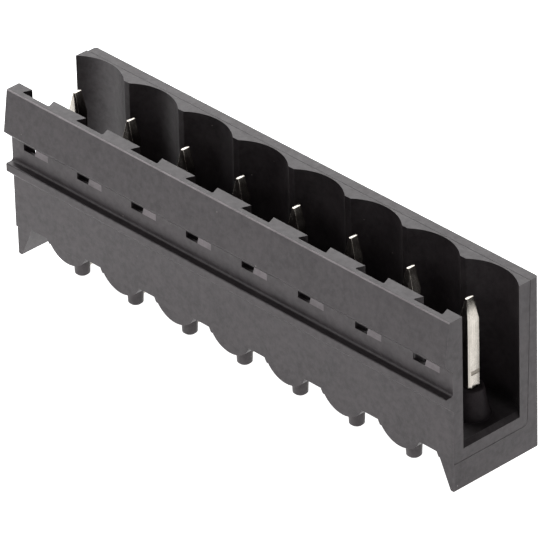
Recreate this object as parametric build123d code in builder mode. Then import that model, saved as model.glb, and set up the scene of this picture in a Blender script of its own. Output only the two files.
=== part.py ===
from build123d import *
import os

# Eight-pole pin header for a plug-in terminal block, standing upright on a circuit board.
# X runs along the contact row, +Y is the closed back, -Y the latching front, +Z the plug side.
# The origin is the middle of the contact row on the seating plane of the board.

# Contact row
pitch = 5.08
poles = 8

# Heights over the board
housing_height = 12.4
floor_top = 3.2
floor_thickness = 0.8
floor_end_slope = 0.3  # the channel floor slopes down to the open ends
base_height = 2.08  # top of the base layer that carries the feet

# Depths in front of and behind the contact row
front_depth = 3.72
back_depth = 3.72

# Steps and seam between the two mould halves
base_inset = 0.08
mould_step = 0.05
mould_corner = 0.3
seam_width = 0.08
seam_depth = 0.06
seam_lean = 0.32  # the seam leans in towards the base

# Front lip that the latch of the plug hooks under, and the ledge below it
lip_height = 3.0
lip_reach = 0.65
lip_top_reach = 0.23
latch_gap = 1.7  # between the ledge and the root of the lip
ledge_reach = 0.58
ledge_face = 0.57
ledge_root_round = 0.18
edge_round = 0.08

# Round pockets of the back wall, one behind each contact
pocket_depth = 0.85
pocket_wall = 0.87  # thinnest part of the back wall
back_shell = 0.76  # outer layer of the back wall
nose_width = 0.5  # flat between two pockets
nose_round = 0.12

# Dovetail coding slots in the front wall
slot_depth = 0.65
slot_web = 0.19  # wall left in front of a slot
slot_mouth = 2.03
slot_root = 2.54
slot_sill = 0.52  # from the floor of a slot up to its window
pad_round = 0.16
root_round = 0.08

# Windows under the lip, one on each coding slot, each half closed by a tongue that leans back
window_drop = 0.05  # below the root of the lip
window_height = 0.48
window_width = 2.3
tongue_width = 1.26
tongue_lean = 0.15

# Contact bosses on the channel floor
boss_height = 2.0
boss_base = 2.52
boss_top = 1.76
boss_flare = 0.08
boss_rim = 0.07

# Feet, scalloped skirts and stand-off pegs under the floor
foot_root = 1.5
foot_tip = 0.38
foot_round = 0.1
skirt_thickness = 0.6
lobe_radius = 2.0
lobe_bottom = 1.22
peg_root = 1.24
peg_tip = 1.0
peg_gap = 0.1  # between a peg and the front skirt
peg_rim = 0.12
back_edge_round = 0.2

# Contact pins
pin_width = 1.0
pin_corner = 0.17
pin_recess = 0.9  # from the point of a pin up to the rim of the housing
point_height = 1.4
point_width = 0.2
point_depth = 0.62
point_corner = 0.05
tail_length = 1.5
tail_lead = 0.15
pin_clearance = 0.01  # between a pin and its seat in the housing
stamp_rise = 1.0  # from the top of a boss up to the stamped band
stamp_height = 0.28
stamp_depth = 0.03

cut_margin = 1.0  # how far a cut runs past the faces that it opens

# The open ends cut through the housing where the outer pockets end
row_span = pitch * (poles - 1)
pocket_reach = (pitch - nose_width) / 2
length = row_span + 2 * pocket_reach

# Depths that follow: the slots and the pockets leave their own walls standing
channel_front = front_depth - slot_web - slot_depth
channel_back = back_depth - pocket_wall - pocket_depth
pocket_radius = (pocket_reach**2 + pocket_depth**2) / (2 * pocket_depth)
shell_face = back_depth - back_shell
shell_foot = shell_face - seam_lean
skirt_gap = front_depth + back_depth - 2 * skirt_thickness
peg_setback = skirt_thickness + peg_gap + peg_root / 2

# Heights that follow: the latch hangs from the rim, the contacts stand on the floor
floor_bottom = floor_top - floor_thickness
lip_bottom = housing_height - lip_height
lip_root = lip_bottom - lip_reach
ledge_top = lip_root - latch_gap
ledge_bottom = ledge_top - ledge_face
window_top = lip_root - window_drop
window_bottom = window_top - window_height
slot_floor = window_bottom - slot_sill
pin_top = housing_height - pin_recess
stamp_bottom = floor_top + boss_height + stamp_rise
seat_width = pin_width + 2 * pin_clearance

# Hollow under the floor, seen from the front: it narrows upwards between the slanted feet
arch = [
    (-length / 2 + foot_tip, 0),
    (-length / 2 + foot_root, floor_bottom),
    (length / 2 - foot_root, floor_bottom),
    (length / 2 - foot_tip, 0),
]

# Tongue that closes half of a window
with BuildPart() as tongue:
    with BuildSketch(Plane.YZ.offset(window_width / 2 - tongue_width)):
        with BuildLine():
            Polyline(
                (-front_depth + slot_web, window_bottom),
                (-front_depth, window_bottom),
                (-front_depth + tongue_lean, window_top),
                (-front_depth + slot_web, window_top),
                close=True,
            )
        make_face()
    extrude(amount=tongue_width)

# Housing
with BuildPart() as housing:
    # upper mould half: front wall with lip and ledge, and the inner layer of the back wall
    with BuildSketch(Plane.YZ.offset(-length / 2)) as upper_profile:
        with BuildLine():
            Polyline(
                (shell_foot, base_height),
                (-front_depth, base_height),
                (-front_depth, ledge_bottom - ledge_reach),
                (-front_depth - ledge_reach, ledge_bottom),
                (-front_depth - ledge_reach, ledge_top),
                (-front_depth, ledge_top),
                (-front_depth, lip_root),
                (-front_depth - lip_reach, lip_bottom),
                (-front_depth - lip_top_reach, housing_height),
                (shell_face, housing_height),
                close=True,
            )
        make_face()
        foot_corners = upper_profile.vertices().group_by(Axis.Y)[0]
        fillet(foot_corners.sort_by(Axis.X)[-1], radius=mould_corner)
        ledge_corners = upper_profile.vertices().filter_by_position(Axis.Y, ledge_top, ledge_top)
        fillet(ledge_corners.sort_by(Axis.X)[-1], radius=ledge_root_round)
        proud_corners = upper_profile.vertices().group_by(Axis.X)
        fillet(proud_corners[0] + proud_corners[1] + proud_corners[2], radius=edge_round)
    extrude(amount=length)

    # lower mould half: base layer and back shell, a hair smaller all round
    with BuildSketch(Plane.YZ.offset(-length / 2 + mould_step)) as lower_profile:
        with BuildLine():
            Polyline(
                (back_depth, 0),
                (-front_depth + base_inset, 0),
                (-front_depth + base_inset, base_height - seam_width),
                (shell_foot + seam_width, base_height - seam_width),
                (shell_face + seam_width, housing_height - mould_step),
                (back_depth, housing_height - mould_step),
                close=True,
            )
        make_face()
        seam_corners = lower_profile.vertices().group_by(Axis.Y)[1]
        fillet(seam_corners.sort_by(Axis.X)[-1], radius=mould_corner + seam_width)
    extrude(amount=length - 2 * mould_step)

    # filling behind the fine seam between the two halves
    with BuildSketch(Plane.YZ.offset(-length / 2 + mould_step + seam_depth)):
        with BuildLine():
            Polyline(
                (-front_depth + base_inset, 0),
                (-front_depth + base_inset, housing_height - mould_step - seam_depth),
                (back_depth, housing_height - mould_step - seam_depth),
                (back_depth, 0),
                close=True,
            )
        make_face()
    extrude(amount=length - 2 * mould_step - 2 * seam_depth)
    fillet(housing.edges().filter_by(Axis.Z).group_by(Axis.Y)[-1], radius=back_edge_round)

    # plug channel with its round pockets, open at the top and at both ends
    with BuildSketch(Plane.XY.offset(floor_top)) as channel:
        with Locations((0, channel_back + pocket_depth - pocket_radius)):
            with GridLocations(pitch, 1, poles, 1):
                Circle(pocket_radius)
        with Locations((0, channel_back)):
            Rectangle(length + cut_margin, 2 * channel_back, mode=Mode.INTERSECT)
        with Locations((0, (channel_back - channel_front) / 2)):
            Rectangle(length + cut_margin, channel_back + channel_front)
        nose_corners = channel.vertices().group_by(Axis.Y)[-1].sort_by(Axis.X)
        fillet(nose_corners[2:-2], radius=nose_round)
    extrude(amount=housing_height, mode=Mode.SUBTRACT)
    floor_ends = housing.edges(Select.LAST).filter_by(Axis.Y).group_by(Axis.Z)[0]
    chamfer(floor_ends, length=floor_end_slope)

    # dovetail coding slots, wider at the root than at the mouth
    with BuildSketch(Plane.XY.offset(slot_floor)) as slots:
        with Locations((0, -channel_front + pad_round)):
            Rectangle(length + cut_margin, 2 * pad_round)
        with GridLocations(pitch, 1, poles, 1):
            Polygon(
                (-slot_mouth / 2, -channel_front),
                (slot_mouth / 2, -channel_front),
                (slot_root / 2, -channel_front - slot_depth),
                (-slot_root / 2, -channel_front - slot_depth),
                align=None,
            )
        corner_rows = slots.vertices().group_by(Axis.Y)
        fillet(corner_rows[0], radius=root_round)
        fillet(corner_rows[1].sort_by(Axis.X)[1:-1], radius=pad_round)
    extrude(amount=housing_height, mode=Mode.SUBTRACT)

    # windows through the web in front of the slots, with their tongues
    with BuildSketch(Plane.XZ.offset(front_depth)):
        with Locations((0, window_bottom + window_height / 2)):
            with GridLocations(pitch, 1, poles, 1):
                Rectangle(window_width, window_height)
    extrude(amount=-2 * slot_web, mode=Mode.SUBTRACT)
    with GridLocations(pitch, 1, poles, 1):
        add(tongue.part)

    # scalloped skirts: the arch between the feet, less one round lobe between each two poles
    with BuildSketch(Plane.XZ):
        Polygon(*arch, align=None)
        with Locations((0, lobe_bottom + lobe_radius)):
            with GridLocations(pitch, 1, poles - 1, 1):
                Circle(lobe_radius, mode=Mode.SUBTRACT)
    extrude(amount=front_depth + back_depth, both=True, mode=Mode.SUBTRACT)

    # hollow between the front and the back skirt
    with BuildSketch(Plane.XZ.offset(front_depth - skirt_thickness)):
        Polygon(*arch, align=None)
    extrude(amount=-skirt_gap, mode=Mode.SUBTRACT)
    fillet(housing.edges().filter_by(Axis.Y).group_by(Axis.Z)[0], radius=foot_round)

    # stand-off pegs between the poles
    with Locations((0, -front_depth + peg_setback, 0)):
        with GridLocations(pitch, 1, poles - 1, 1):
            Cone(peg_tip / 2, peg_root / 2, floor_bottom, align=(Align.CENTER, Align.CENTER, Align.MIN))
    peg_rims = housing.edges(Select.LAST).filter_by(GeomType.CIRCLE).group_by(Axis.Z)
    chamfer(peg_rims[0], length=peg_rim)

    # conical bosses that hold the contacts
    with Locations((0, 0, floor_top)):
        with GridLocations(pitch, 1, poles, 1):
            Cone(boss_base / 2, boss_top / 2, boss_height, align=(Align.CENTER, Align.CENTER, Align.MIN))
    boss_rims = housing.edges(Select.LAST).filter_by(GeomType.CIRCLE).group_by(Axis.Z)
    chamfer(boss_rims[0], length=boss_flare)
    chamfer(boss_rims[-1], length=boss_rim)

    # seats of the contacts, through the floor and the bosses
    with BuildSketch(Plane.XY.offset(floor_bottom)) as seats:
        with GridLocations(pitch, 1, poles, 1):
            Rectangle(seat_width, seat_width)
        chamfer(seats.vertices(), length=pin_corner)
    extrude(amount=floor_thickness + boss_height, mode=Mode.SUBTRACT)

# Contact: square pin with broken corners, a wedge point for the plug and a short solder tail
with BuildPart() as contact:
    with BuildSketch(Plane.XY.offset(-tail_length)) as section:
        Rectangle(pin_width, pin_width)
        chamfer(section.vertices(), length=pin_corner)
    extrude(amount=tail_length + pin_top - point_height)
    chamfer(contact.edges().group_by(Axis.Z)[0], length=tail_lead)
    with BuildSketch(Plane.XY.offset(pin_top)) as point:
        Rectangle(point_width, point_depth)
        chamfer(point.vertices(), length=point_corner)
    loft([contact.faces().sort_by(Axis.Z)[-1], point.sketch.face()], ruled=True)

    # stamped band across both side faces
    with Locations((0, 0, stamp_bottom)):
        with GridLocations(pin_width, 1, 2, 1):
            Box(
                2 * stamp_depth,
                pin_width,
                stamp_height,
                align=(Align.CENTER, Align.CENTER, Align.MIN),
                mode=Mode.SUBTRACT,
            )

os.makedirs("parts", exist_ok=True)
housing.part.label = "housing"
export_step(housing.part, "parts/housing.step")
for index in range(poles):
    with BuildPart() as contact_pin:
        with Locations((pitch * index - row_span / 2, 0, 0)):
            add(contact.part)
    contact_pin.part.label = f"contact_pin_{index + 1}"
    export_step(contact_pin.part, f"parts/contact_pin_{index + 1}.step")
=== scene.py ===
import bpy
import math
from mathutils import Matrix, Vector


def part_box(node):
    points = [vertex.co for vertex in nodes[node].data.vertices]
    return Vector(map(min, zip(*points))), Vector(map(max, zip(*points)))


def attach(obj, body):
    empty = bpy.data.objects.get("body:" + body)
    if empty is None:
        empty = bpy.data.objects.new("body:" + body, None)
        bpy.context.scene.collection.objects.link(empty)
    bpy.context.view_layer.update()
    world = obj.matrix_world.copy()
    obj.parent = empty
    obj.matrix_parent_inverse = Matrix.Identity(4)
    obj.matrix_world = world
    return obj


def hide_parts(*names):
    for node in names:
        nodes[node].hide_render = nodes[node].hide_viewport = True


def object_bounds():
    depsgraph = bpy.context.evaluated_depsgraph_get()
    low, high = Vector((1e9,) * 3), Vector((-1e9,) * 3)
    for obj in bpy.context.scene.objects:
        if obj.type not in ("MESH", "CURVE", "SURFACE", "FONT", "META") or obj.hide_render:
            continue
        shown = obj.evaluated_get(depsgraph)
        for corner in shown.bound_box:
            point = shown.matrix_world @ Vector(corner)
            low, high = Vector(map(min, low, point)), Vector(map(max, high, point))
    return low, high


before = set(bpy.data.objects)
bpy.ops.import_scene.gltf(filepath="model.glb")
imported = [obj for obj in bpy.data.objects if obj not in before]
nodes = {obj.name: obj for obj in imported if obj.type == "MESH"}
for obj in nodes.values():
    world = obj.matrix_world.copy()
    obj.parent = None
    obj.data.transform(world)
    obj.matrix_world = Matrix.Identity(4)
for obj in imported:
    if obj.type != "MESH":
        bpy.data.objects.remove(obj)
cadLow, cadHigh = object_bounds()
contactNames = sorted(name for name in nodes if name != "housing")
bpy.ops.object.select_all(action="DESELECT")
print("frame loaded:", len(nodes), "solids")

mm = 0.001  # the scene is in metres


def linearColour(hexColour):
    # sRGB hex to the linear colour that the shaders use
    channels = [int(hexColour[start:start + 2], 16) / 255 for start in (1, 3, 5)]
    return [c / 12.92 if c <= 0.04045 else ((c + 0.055) / 1.055) ** 2.4 for c in channels] + [1.0]


def addNode(material, kind, settings=None, inputs=None, links=None, stops=None):
    # one shader node: its own settings, the values on its sockets, what feeds them, and a ramp's two stops
    node = material.node_tree.nodes.new(kind)
    for name, value in (settings or {}).items():
        setattr(node, name, value)
    for name, value in (inputs or {}).items():
        node.inputs[name].default_value = value
    for name, source in (links or {}).items():
        material.node_tree.links.new(source, node.inputs[name])
    for index, (place, colour) in enumerate(stops or []):
        node.color_ramp.elements[index].position = place
        node.color_ramp.elements[index].color = linearColour(colour)
    return node


def startMaterial(name):
    material = bpy.data.materials.new(name)
    material.use_nodes = True
    material.node_tree.nodes.clear()
    return material


# Black glass-filled plastic, injection moulded: satin black with a faint cloudy skin where the glass lies
# near it, a fine spark-eroded texture, and a few pale flecks. A spread is the part of a pattern that the
# values beside it run over.
housingFinish = {
    "skinDark": "#1d191b",
    "skinPale": "#2a2527",
    "skinSpread": (0.35, 0.65),
    "cloudSize": 1.6 * mm,  # flow clouds of the filled melt
    "cloudNoise": {"Detail": 4.0, "Roughness": 0.6},
    "grainSize": 0.11 * mm,  # real texture is about 0.03 mm; drawn coarser so that it shows
    "grainNoise": {"Detail": 2.0, "Roughness": 0.55},
    "grainShare": 0.4,  # of the skin's pattern; the rest is cloud
    "grainDepth": 0.02 * mm,
    "grainStrength": 0.25,
    "fleck": "#8f8a86",
    "fleckSpacing": 1.5 * mm,
    "fleckRadius": 0.05 * mm,
    "fleckCore": 0.5,  # share of the radius that has the full colour
    "roughness": (0.4, 0.56),
    "roughnessSpread": (0.3, 0.7),
    "gloss": (0.4, 0.62),  # more of the light comes back where the resin skin is closed
    "glossSpread": (0.38, 0.62),
    "glossTint": "#fff9fb",
    "mottleSize": 0.42 * mm,
    "mottleNoise": {"Detail": 3.0, "Roughness": 0.65},
    "mottleShare": 0.6,  # of the gloss pattern; the rest is cloud
    "refraction": 1.55,
}


def glassFilledPlasticMoulded(name, finish):
    material = startMaterial(name)
    place = addNode(material, "ShaderNodeTexCoord").outputs["Object"]
    clouds = addNode(material, "ShaderNodeTexNoise", None,
                     {"Scale": 1 / finish["cloudSize"], **finish["cloudNoise"]}, {"Vector": place})
    grain = addNode(material, "ShaderNodeTexNoise", None,
                    {"Scale": 1 / finish["grainSize"], **finish["grainNoise"]}, {"Vector": place})
    mottle = addNode(material, "ShaderNodeTexNoise", None,
                     {"Scale": 1 / finish["mottleSize"], **finish["mottleNoise"]}, {"Vector": place})
    skinPattern = addNode(material, "ShaderNodeMix", {"data_type": "FLOAT"}, {"Factor": finish["grainShare"]},
                          {"A": clouds.outputs["Fac"], "B": grain.outputs["Fac"]})
    skin = addNode(material, "ShaderNodeValToRGB", None, None, {"Fac": skinPattern.outputs["Result"]},
                   zip(finish["skinSpread"], (finish["skinDark"], finish["skinPale"])))
    cells = addNode(material, "ShaderNodeTexVoronoi", {"feature": "F1"},
                    {"Scale": 1 / finish["fleckSpacing"]}, {"Vector": place})
    fleckReach = finish["fleckRadius"] / finish["fleckSpacing"]
    fleck = addNode(material, "ShaderNodeMapRange", None,
                    {"From Min": fleckReach, "From Max": finish["fleckCore"] * fleckReach,
                     "To Min": 0.0, "To Max": 1.0},
                    {"Value": cells.outputs["Distance"]})
    colour = addNode(material, "ShaderNodeMix", {"data_type": "RGBA"}, {"B": linearColour(finish["fleck"])},
                     {"Factor": fleck.outputs["Result"], "A": skin.outputs["Color"]})
    rough = addNode(material, "ShaderNodeMapRange", None,
                    {"From Min": finish["roughnessSpread"][0], "From Max": finish["roughnessSpread"][1],
                     "To Min": finish["roughness"][0], "To Max": finish["roughness"][1]},
                    {"Value": skinPattern.outputs["Result"]})
    glossPattern = addNode(material, "ShaderNodeMix", {"data_type": "FLOAT"},
                           {"Factor": finish["mottleShare"]},
                           {"A": clouds.outputs["Fac"], "B": mottle.outputs["Fac"]})
    gloss = addNode(material, "ShaderNodeMapRange", None,
                    {"From Min": finish["glossSpread"][0], "From Max": finish["glossSpread"][1],
                     "To Min": finish["gloss"][0], "To Max": finish["gloss"][1]},
                    {"Value": glossPattern.outputs["Result"]})
    bump = addNode(material, "ShaderNodeBump", None,
                   {"Strength": finish["grainStrength"], "Distance": finish["grainDepth"]},
                   {"Height": grain.outputs["Fac"]})
    shader = addNode(material, "ShaderNodeBsdfPrincipled", None,
                     {"IOR": finish["refraction"], "Specular Tint": linearColour(finish["glossTint"])},
                     {"Base Color": colour.outputs["Result"], "Roughness": rough.outputs["Result"],
                      "Specular IOR Level": gloss.outputs["Result"], "Normal": bump.outputs["Normal"]})
    addNode(material, "ShaderNodeOutputMaterial", None, None, {"Surface": shader.outputs["BSDF"]})
    return material


# The same plastic painted pale: a painted highlight on its edge rounds and painted light on the window
# tongues
paintedLightFinish = dict(housingFinish, skinDark="#595456", skinPale="#6f686b")

# The same plastic painted pale along the upper front edge of the lip: a thin painted highlight line
lipHighlightFinish = dict(housingFinish, skinDark="#787274", skinPale="#8e888a")

# The same plastic on the bosses with its gloss turned down and rougher: painted shade that keeps the bosses
# dark
bossShadeFinish = dict(housingFinish, gloss=(0.08, 0.14), roughness=(0.55, 0.7))

# Tin plate over drawn copper alloy wire, dull-bright: warm silver, with drawing lines along the pin under the
# plating
contactFinish = {
    "plateDark": "#938d85",
    "platePale": "#c3beb6",
    "plateSpread": (0.3, 0.62),
    "cloudSize": 0.6 * mm,  # uneven thickness of the tin
    "cloudNoise": {"Detail": 3.0},
    "lineWidth": 0.05 * mm,  # real drawing lines are about 0.01 mm; drawn coarser so that they show
    "lineLength": 2.4 * mm,
    "lineNoise": {"Detail": 3.0, "Roughness": 0.6},
    "lineShare": 0.5,  # of the plate's pattern; the rest is cloud
    "lineDepth": 0.01 * mm,
    "lineStrength": 0.2,
    "roughness": (0.14, 0.27),
    "roughnessSpread": (0.3, 0.7),
}


def tinPlatedDrawnWire(name, finish):
    material = startMaterial(name)
    place = addNode(material, "ShaderNodeTexCoord").outputs["Object"]
    lineSize = (finish["lineWidth"], finish["lineWidth"], finish["lineLength"])
    stretched = addNode(material, "ShaderNodeMapping", None, {"Scale": [1 / size for size in lineSize]},
                        {"Vector": place})
    lines = addNode(material, "ShaderNodeTexNoise", None, {"Scale": 1.0, **finish["lineNoise"]},
                    {"Vector": stretched.outputs["Vector"]})
    clouds = addNode(material, "ShaderNodeTexNoise", None,
                     {"Scale": 1 / finish["cloudSize"], **finish["cloudNoise"]}, {"Vector": place})
    platePattern = addNode(material, "ShaderNodeMix", {"data_type": "FLOAT"}, {"Factor": finish["lineShare"]},
                           {"A": clouds.outputs["Fac"], "B": lines.outputs["Fac"]})
    plate = addNode(material, "ShaderNodeValToRGB", None, None, {"Fac": platePattern.outputs["Result"]},
                    zip(finish["plateSpread"], (finish["plateDark"], finish["platePale"])))
    rough = addNode(material, "ShaderNodeMapRange", None,
                    {"From Min": finish["roughnessSpread"][0], "From Max": finish["roughnessSpread"][1],
                     "To Min": finish["roughness"][0], "To Max": finish["roughness"][1]},
                    {"Value": clouds.outputs["Fac"]})
    bump = addNode(material, "ShaderNodeBump", None,
                   {"Strength": finish["lineStrength"], "Distance": finish["lineDepth"]},
                   {"Height": lines.outputs["Fac"]})
    shader = addNode(material, "ShaderNodeBsdfPrincipled", None, {"Metallic": 1.0},
                     {"Base Color": plate.outputs["Color"], "Roughness": rough.outputs["Result"],
                      "Normal": bump.outputs["Normal"]})
    addNode(material, "ShaderNodeOutputMaterial", None, None, {"Surface": shader.outputs["BSDF"]})
    return material


# The same tin in the pressed band of a pin, darker and rougher
bandFinish = dict(contactFinish, plateDark="#6e6962", platePale="#989288", roughness=(0.3, 0.4))

plastic = glassFilledPlasticMoulded("glassFilledPlasticMoulded", housingFinish)
paintedLightPlastic = glassFilledPlasticMoulded("glassFilledPlasticPaintedLight", paintedLightFinish)
paintedLipHighlightPlastic = glassFilledPlasticMoulded("glassFilledPlasticPaintedLipHighlight", lipHighlightFinish)
paintedShadeBossPlastic = glassFilledPlasticMoulded("glassFilledPlasticPaintedBossShade", bossShadeFinish)
tin = tinPlatedDrawnWire("tinPlatedDrawnWire", contactFinish)
pressedTin = tinPlatedDrawnWire("tinPlatedPressedWire", bandFinish)
print("materials made")

# A solid comes as loose triangles: corners this near are merged, and faces this flat, in degrees, are joined
cleaning = {"mergeWithin": 0.0005 * mm, "flatWithin": 0.5}


def roundedCopy(source, name, rounds, materials):
    # a merged copy of the solid with its sharp edges rounded, in the first material but for the rounds
    piece = source.copy()
    piece.data = source.data.copy()
    piece.name = name
    piece.parent = None
    for key in list(piece.keys()):  # the frame's own marks stay with the solid
        del piece[key]
    bpy.context.scene.collection.objects.link(piece)
    piece.data.materials.clear()
    for material in materials:
        piece.data.materials.append(material)
    bpy.context.view_layer.objects.active = piece
    piece.select_set(True)
    bpy.ops.object.mode_set(mode="EDIT")
    bpy.ops.mesh.select_all(action="SELECT")
    bpy.ops.mesh.remove_doubles(threshold=cleaning["mergeWithin"])
    bpy.ops.mesh.dissolve_limited(angle_limit=math.radians(cleaning["flatWithin"]))
    bpy.ops.object.mode_set(mode="OBJECT")
    bevel = piece.modifiers.new("edge rounds", "BEVEL")
    bevel.width = rounds["width"]
    bevel.segments = rounds["segments"]
    bevel.limit_method = "ANGLE"
    bevel.angle_limit = math.radians(rounds["sharperThan"])
    bevel.material = materials.index(rounds["material"])
    bpy.ops.object.modifier_apply(modifier=bevel.name)
    bpy.ops.object.shade_smooth_by_angle(angle=math.radians(rounds["smoothUnder"]))
    for edge in piece.data.edges:
        ends = [piece.data.vertices[index].co for index in edge.vertices]
        if all(rounds["crispY"][0] < end.y < rounds["crispY"][1]
               and rounds["crispZ"][0] < end.z < rounds["crispZ"][1] for end in ends):
            edge.use_edge_sharp = True
    flats = piece.modifiers.new("flat faces", "WEIGHTED_NORMAL")
    flats.keep_sharp = True
    bpy.ops.object.modifier_apply(modifier=flats.name)
    piece.select_set(False)
    return piece


# Edges of the moulding: no tool cuts them sharp, and their small rounds catch the light. Angles are in
# degrees. The shallow fold at the foot of the window tongues stays crisp, between these limits of y and z.
housingRounds = {
    "width": 0.07 * mm,
    "segments": 3,
    "sharperThan": 28,  # edges that turn more than this are rounded
    "smoothUnder": 31,  # edges that turn less than this are shaded smooth
    "crispY": (-3.73 * mm, -3.71 * mm),
    "crispZ": (8.21 * mm, 8.23 * mm),
    # the rounds' faces take the pale plastic, a painted highlight on every rounded edge
    "material": paintedLightPlastic,
}

# Where the painted highlights and the painted shade on the bosses lie on the housing
housingPlaces = {
    "tongueLean": 0.15 * mm,
    "tongueHeight": 0.48 * mm,
    "tongueWithin": 1,  # degrees from the tongues' normal
    "lipEdge": (-3.93 * mm, cadHigh.z - 0.03 * mm),  # y and z of the upper front edge
    "lipEdgeReach": 0.15 * mm,
    "lipEdgeWithin": 40,  # degrees from its normal, halfway between front and up
    "bossRadius": 1.36 * mm,  # round each contact
    "bossHeights": (3.22 * mm, 5.25 * mm),  # from just over the channel floor to just over the bosses
}

housingMaterials = [plastic, paintedLightPlastic, paintedLipHighlightPlastic, paintedShadeBossPlastic]
housing = roundedCopy(nodes["housing"], "moulded_housing", housingRounds, housingMaterials)
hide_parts("housing")
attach(housing, "root")
tongueNormal = Vector((0, -housingPlaces["tongueHeight"], housingPlaces["tongueLean"])).normalized()
lipEdgeNormal = Vector((0, -1, 1)).normalized()
contactLines = [sum(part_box(name), Vector()).xy / 2 for name in contactNames]  # x and y of their middles
for face in housing.data.polygons:
    # the window tongues take the pale plastic, painted light
    if face.normal.angle(tongueNormal) < math.radians(housingPlaces["tongueWithin"]):
        face.material_index = housingMaterials.index(paintedLightPlastic)
    # the upper front edge of the lip takes a painted highlight line
    if (face.normal.angle(lipEdgeNormal) < math.radians(housingPlaces["lipEdgeWithin"])
            and math.dist(face.center.yz, housingPlaces["lipEdge"]) < housingPlaces["lipEdgeReach"]):
        face.material_index = housingMaterials.index(paintedLipHighlightPlastic)
    # the bosses round each contact take the low-gloss plastic, painted shade
    if (housingPlaces["bossHeights"][0] < face.center.z < housingPlaces["bossHeights"][1]
            and min(math.dist(face.center.xy, line) for line in contactLines) < housingPlaces["bossRadius"]):
        face.material_index = housingMaterials.index(paintedShadeBossPlastic)
print("housing:", len(housing.data.polygons), "faces")

# Edges of the pins: hardly broken, and crisp at the pressed band, which lies between these limits of y and z
contactRounds = {
    "width": 0.012 * mm,
    "segments": 2,
    "sharperThan": 20,
    "smoothUnder": 31,
    "crispY": (-1.0 * mm, 1.0 * mm),
    "crispZ": (6.15 * mm, 6.53 * mm),
    "material": tin,
}

contactMaterials = [tin, pressedTin]
for name in contactNames:
    pin = roundedCopy(nodes[name], "tinned_" + name, contactRounds, contactMaterials)
    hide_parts(name)
    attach(pin, "root")
    for face in pin.data.polygons:
        if contactRounds["crispZ"][0] < face.center.z < contactRounds["crispZ"][1]:
            face.material_index = contactMaterials.index(pressedTin)
print("contacts:", len(contactNames))

# White acrylic, lit from below: a table without shadows, whose glow fades out beyond the picture
tableFinish = {
    "level": cadLow.z - 0.05 * mm,  # just under the solder tails
    "size": 4000 * mm,
    "dark": "#f3f3f4",
    "pale": "#fafafa",
    "cloudSize": 33 * mm,
    "cloudNoise": {"Detail": 3.0},
    "roughness": 0.9,
    "glow": "#ffffff",
    "glowStrength": 1.0,
    "glowRadii": (62 * mm, 110 * mm),  # full glow within the first, none past the second
}


def whiteAcrylicBacklit(name, finish):
    material = startMaterial(name)
    place = addNode(material, "ShaderNodeTexCoord").outputs["Object"]
    clouds = addNode(material, "ShaderNodeTexNoise", None,
                     {"Scale": 1 / finish["cloudSize"], **finish["cloudNoise"]}, {"Vector": place})
    colour = addNode(material, "ShaderNodeValToRGB", None, None, {"Fac": clouds.outputs["Fac"]},
                     zip((0.0, 1.0), (finish["dark"], finish["pale"])))
    reach = addNode(material, "ShaderNodeVectorMath", {"operation": "LENGTH"}, None, {"Vector": place})
    glow = addNode(material, "ShaderNodeMapRange", {"interpolation_type": "SMOOTHSTEP"},
                   {"From Min": finish["glowRadii"][0], "From Max": finish["glowRadii"][1],
                    "To Min": finish["glowStrength"], "To Max": 0.0},
                   {"Value": reach.outputs["Value"]})
    shader = addNode(material, "ShaderNodeBsdfPrincipled", None,
                     {"Roughness": finish["roughness"], "Emission Color": linearColour(finish["glow"])},
                     {"Base Color": colour.outputs["Color"], "Emission Strength": glow.outputs["Result"]})
    addNode(material, "ShaderNodeOutputMaterial", None, None, {"Surface": shader.outputs["BSDF"]})
    return material


bpy.ops.mesh.primitive_plane_add(size=tableFinish["size"], location=(0, 0, tableFinish["level"]))
table = bpy.context.object
table.name = "table"
table.data.materials.append(whiteAcrylicBacklit("whiteAcrylicBacklit", tableFinish))
table.select_set(False)
print("table laid")


def offsetTo(azimuth, elevation, distance):
    # x, y and z of a place this far away, with the azimuth from +X and both angles in degrees
    flat = distance * math.cos(math.radians(elevation))
    return Vector((flat * math.cos(math.radians(azimuth)), flat * math.sin(math.radians(azimuth)),
                   distance * math.sin(math.radians(elevation))))


def turnAlong(direction):
    # the turn of a lamp or a camera that looks along this direction
    return direction.to_track_quat("-Z", "Y").to_matrix().to_4x4()


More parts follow.
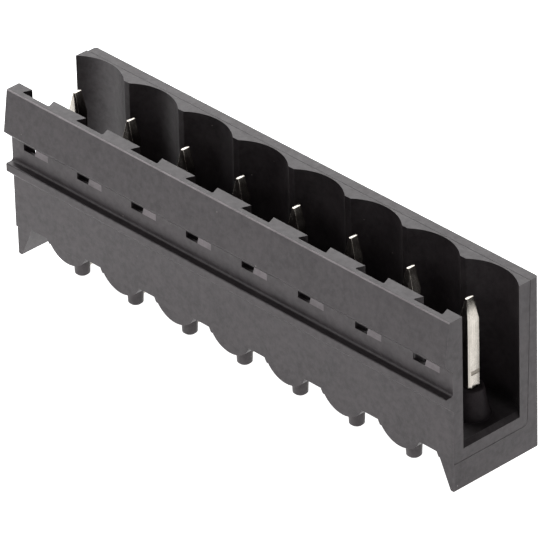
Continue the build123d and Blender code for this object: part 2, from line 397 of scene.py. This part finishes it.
# Studio: a faintly lit room, and four softboxes at one distance that face the object
studio = {
    "roomColour": "#ffffff",
    "roomStrength": 0.1,
    "distance": 700 * mm,
    "softboxes": [
        {"name": "backLeftSoftbox", "azimuth": 152, "elevation": 38, "size": 680 * mm, "watts": 4.7},
        {"name": "frontLeftSoftbox", "azimuth": 222, "elevation": 34, "size": 450 * mm, "watts": 1.2},
        {"name": "frontSoftbox", "azimuth": 270, "elevation": 25, "size": 450 * mm, "watts": 1.1},
        {"name": "rightSoftbox", "azimuth": 0, "elevation": 25, "size": 450 * mm, "watts": 0.7},
    ],
}
world = bpy.data.worlds.new("studioRoom")
world.use_nodes = True
world.node_tree.nodes["Background"].inputs["Color"].default_value = linearColour(studio["roomColour"])
world.node_tree.nodes["Background"].inputs["Strength"].default_value = studio["roomStrength"]
bpy.context.scene.world = world
for lamp in studio["softboxes"]:
    place = offsetTo(lamp["azimuth"], lamp["elevation"], studio["distance"])
    bpy.ops.object.light_add(type="AREA", location=place)
    light = bpy.context.object
    light.name = lamp["name"]
    light.data.size = lamp["size"]
    light.data.energy = lamp["watts"]
    light.rotation_euler = turnAlong(-place).to_euler()
    light.select_set(False)
print("studio lit")

# Camera: a long lens from the right front, above. Angles are in degrees, and lens and film in millimetres.
view = {
    "lookAt": (-0.053 * mm, 0.017 * mm, 5.723 * mm),
    "azimuth": -42.681,
    "elevation": 31.745,
    "distance": 445.85 * mm,
    "roll": 1.558,
    "lens": 472.82,
    "film": 36,
}
camera = bpy.data.objects.new("camera", bpy.data.cameras.new("camera"))
bpy.context.scene.collection.objects.link(camera)
camera.data.lens = view["lens"]
camera.data.sensor_width = view["film"]
offset = offsetTo(view["azimuth"], view["elevation"], view["distance"])
roll = Matrix.Rotation(-math.radians(view["roll"]), 4, "Z")
camera.location = Vector(view["lookAt"]) + offset
camera.rotation_euler = (turnAlong(-offset) @ roll).to_euler()
bpy.context.scene.camera = camera
bpy.context.scene.view_settings.view_transform = "Standard"
print("camera placed")
